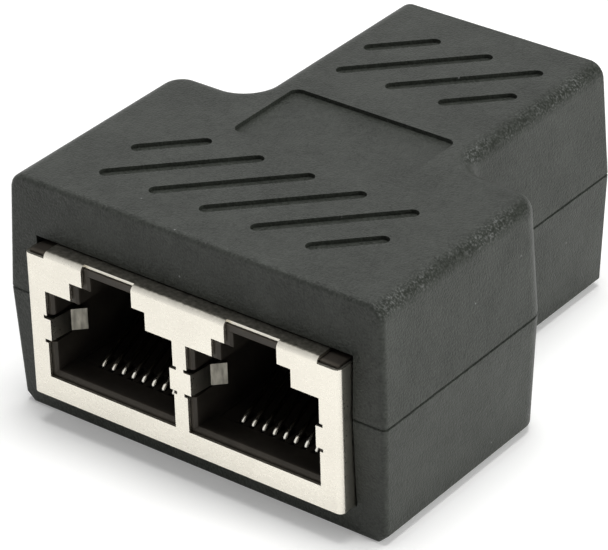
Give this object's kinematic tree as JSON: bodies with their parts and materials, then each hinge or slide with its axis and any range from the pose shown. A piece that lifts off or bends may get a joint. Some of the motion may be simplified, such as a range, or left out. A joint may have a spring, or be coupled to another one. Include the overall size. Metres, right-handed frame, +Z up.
{
  "type": "ethernet splitter adapter",
  "caption": "T-shaped moulded adapter joining a pair of side-by-side shielded modular jacks at its wide end to a shielded jack at its narrow end, with slanting grip grooves on top.",
  "frame": {"origin": "middle of the underside", "axes": "+Z up, -Y towards the two-port end, +Y towards the one-port end"},
  "size_m": [0.0366, 0.045, 0.021],
  "materials": {
    "casing": "fine moulded texture",
    "plated_sheet": "bright nickel plate",
    "insulator": "satin",
    "board": "solder mask",
    "contact_plating": "thin gold plate"
  },
  "bodies": {
    "root": {"upper_shell": "casing", "lower_shell": "casing", "circuit_board": "board", "dual_shield": "plated_sheet", "single_shield": "plated_sheet", "dual_housing": "insulator", "single_housing": "insulator", "port_a_insert": "insulator", "port_a_contact_1": "contact_plating", "port_a_contact_2": "contact_plating", "port_a_contact_3": "contact_plating", "port_a_contact_4": "contact_plating", "port_a_contact_5": "contact_plating", "port_a_contact_6": "contact_plating", "port_a_contact_7": "contact_plating", "port_a_contact_8": "contact_plating", "port_b_insert": "insulator", "port_b_contact_1": "contact_plating", "port_b_contact_2": "contact_plating", "port_b_contact_3": "contact_plating", "port_b_contact_4": "contact_plating", "port_b_contact_5": "contact_plating", "port_b_contact_6": "contact_plating", "port_b_contact_7": "contact_plating", "port_b_contact_8": "contact_plating", "inlet_insert": "insulator", "inlet_contact_1": "contact_plating", "inlet_contact_2": "contact_plating", "inlet_contact_3": "contact_plating", "inlet_contact_4": "contact_plating", "inlet_contact_5": "contact_plating", "inlet_contact_6": "contact_plating", "inlet_contact_7": "contact_plating", "inlet_contact_8": "contact_plating"}
  },
  "joints": []
}
